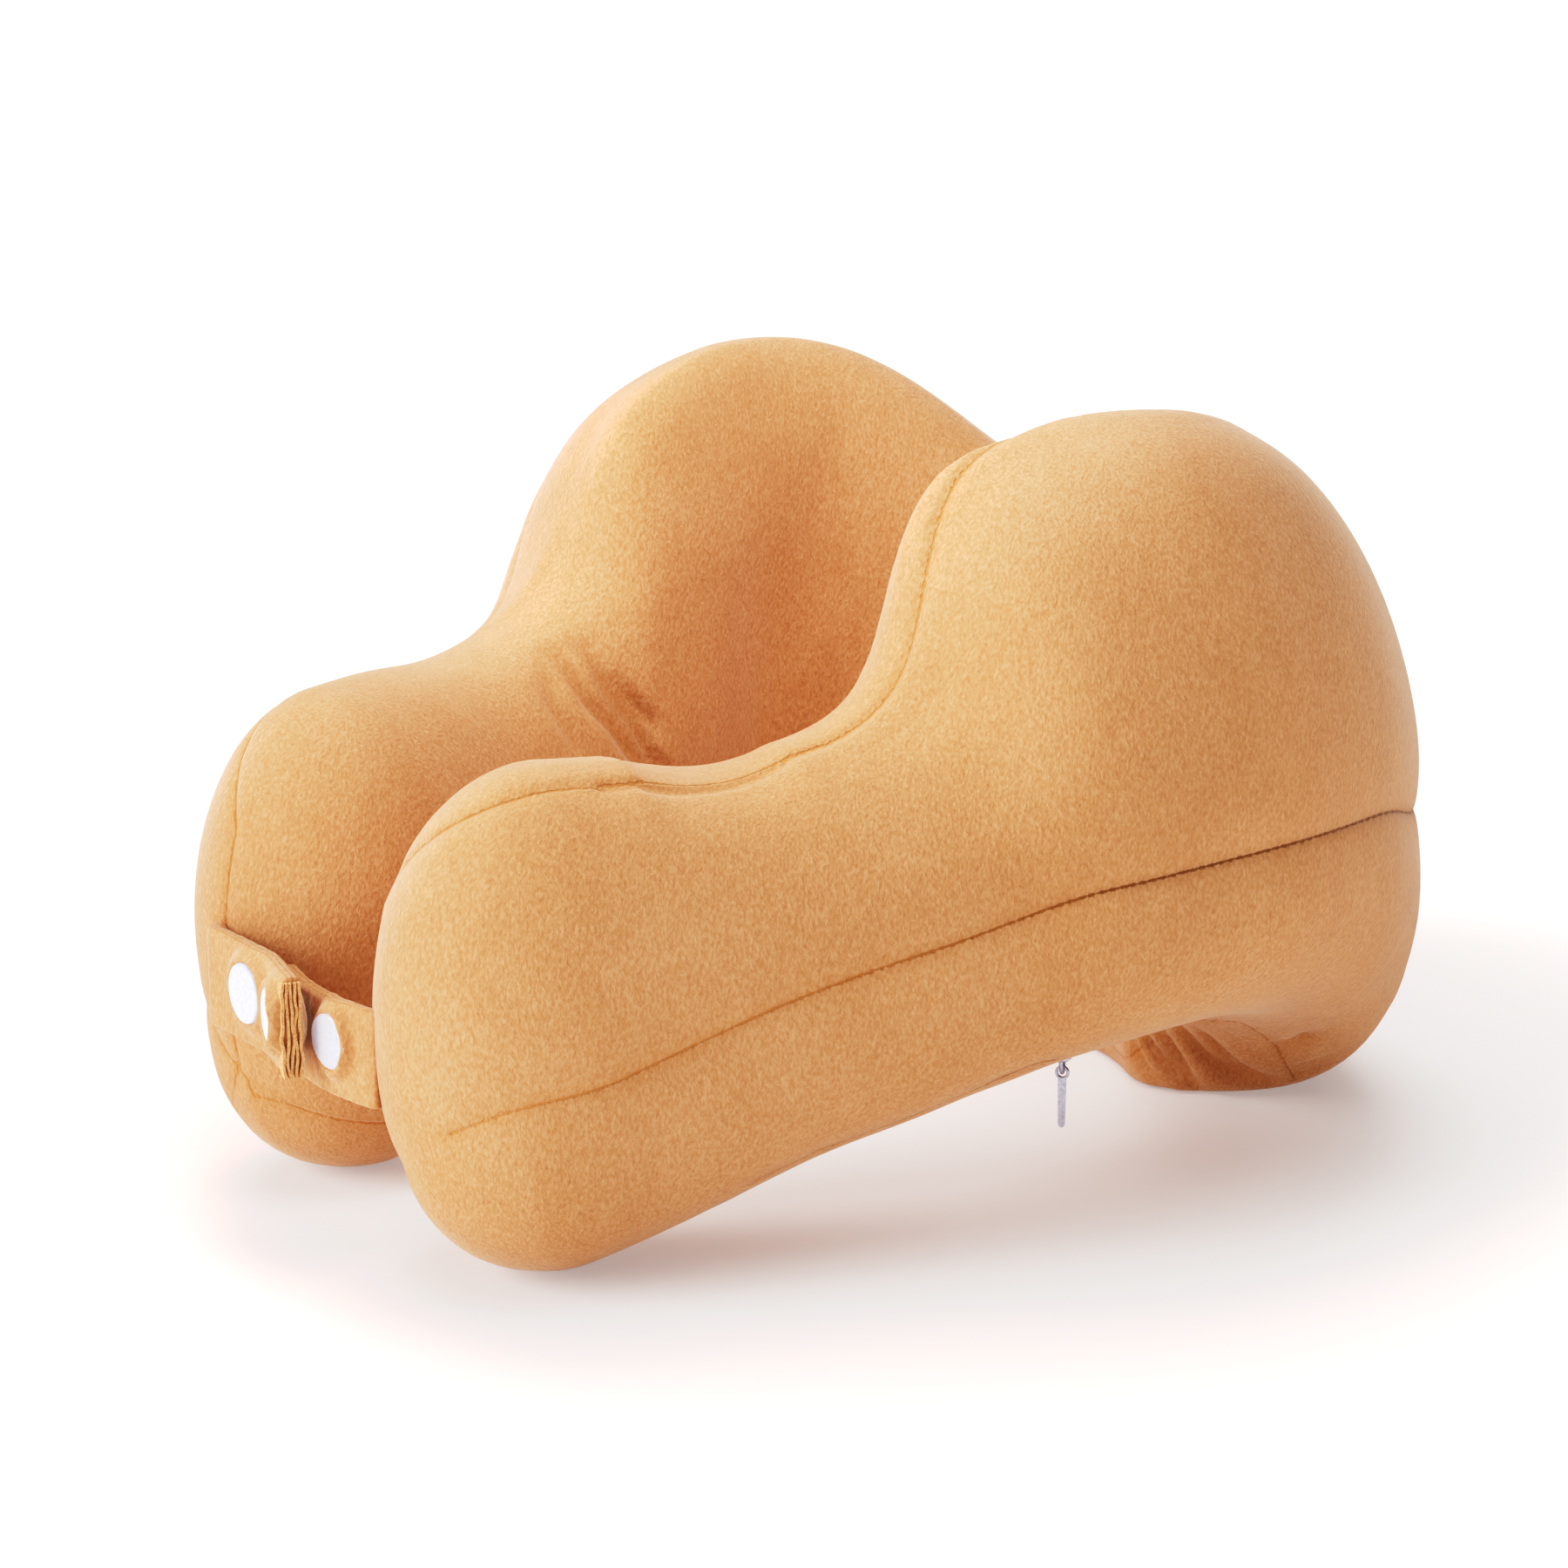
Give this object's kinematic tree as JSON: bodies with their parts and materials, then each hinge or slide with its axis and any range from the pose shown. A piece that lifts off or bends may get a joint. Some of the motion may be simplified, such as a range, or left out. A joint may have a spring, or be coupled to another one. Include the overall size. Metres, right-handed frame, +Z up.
{
  "type": "neck pillow",
  "caption": "Filled plush horseshoe neck pillow with a tall hump at each side of the neck, low round front ends, an arch under each arm, a snap strap across the front and a zip pull below.",
  "frame": {"origin": "middle of the base rectangle of the whole part, on the surface it stands on", "axes": "+Z up, open end towards -Y, closed back towards +Y, mirror plane of the pillow at x = 0"},
  "size_m": [0.2544, 0.3229, 0.1865],
  "materials": {
    "plush": "short brushed pile, caramel, matt with a soft sheen",
    "snap_plastic": "white moulded plastic, slightly glossy",
    "zip_metal": "pale nickel-plated zinc"
  },
  "bodies": {
    "root": {"pillow": "plush", "strap_tab_left": "plush", "strap_tab_right": "plush", "snap_cap_root": "snap_plastic", "snap_cap_end": "snap_plastic", "snap_cap_right": "snap_plastic", "snap_joint": "snap_plastic", "zip_slider": "zip_metal", "zip_pull": "zip_metal"}
  },
  "joints": []
}
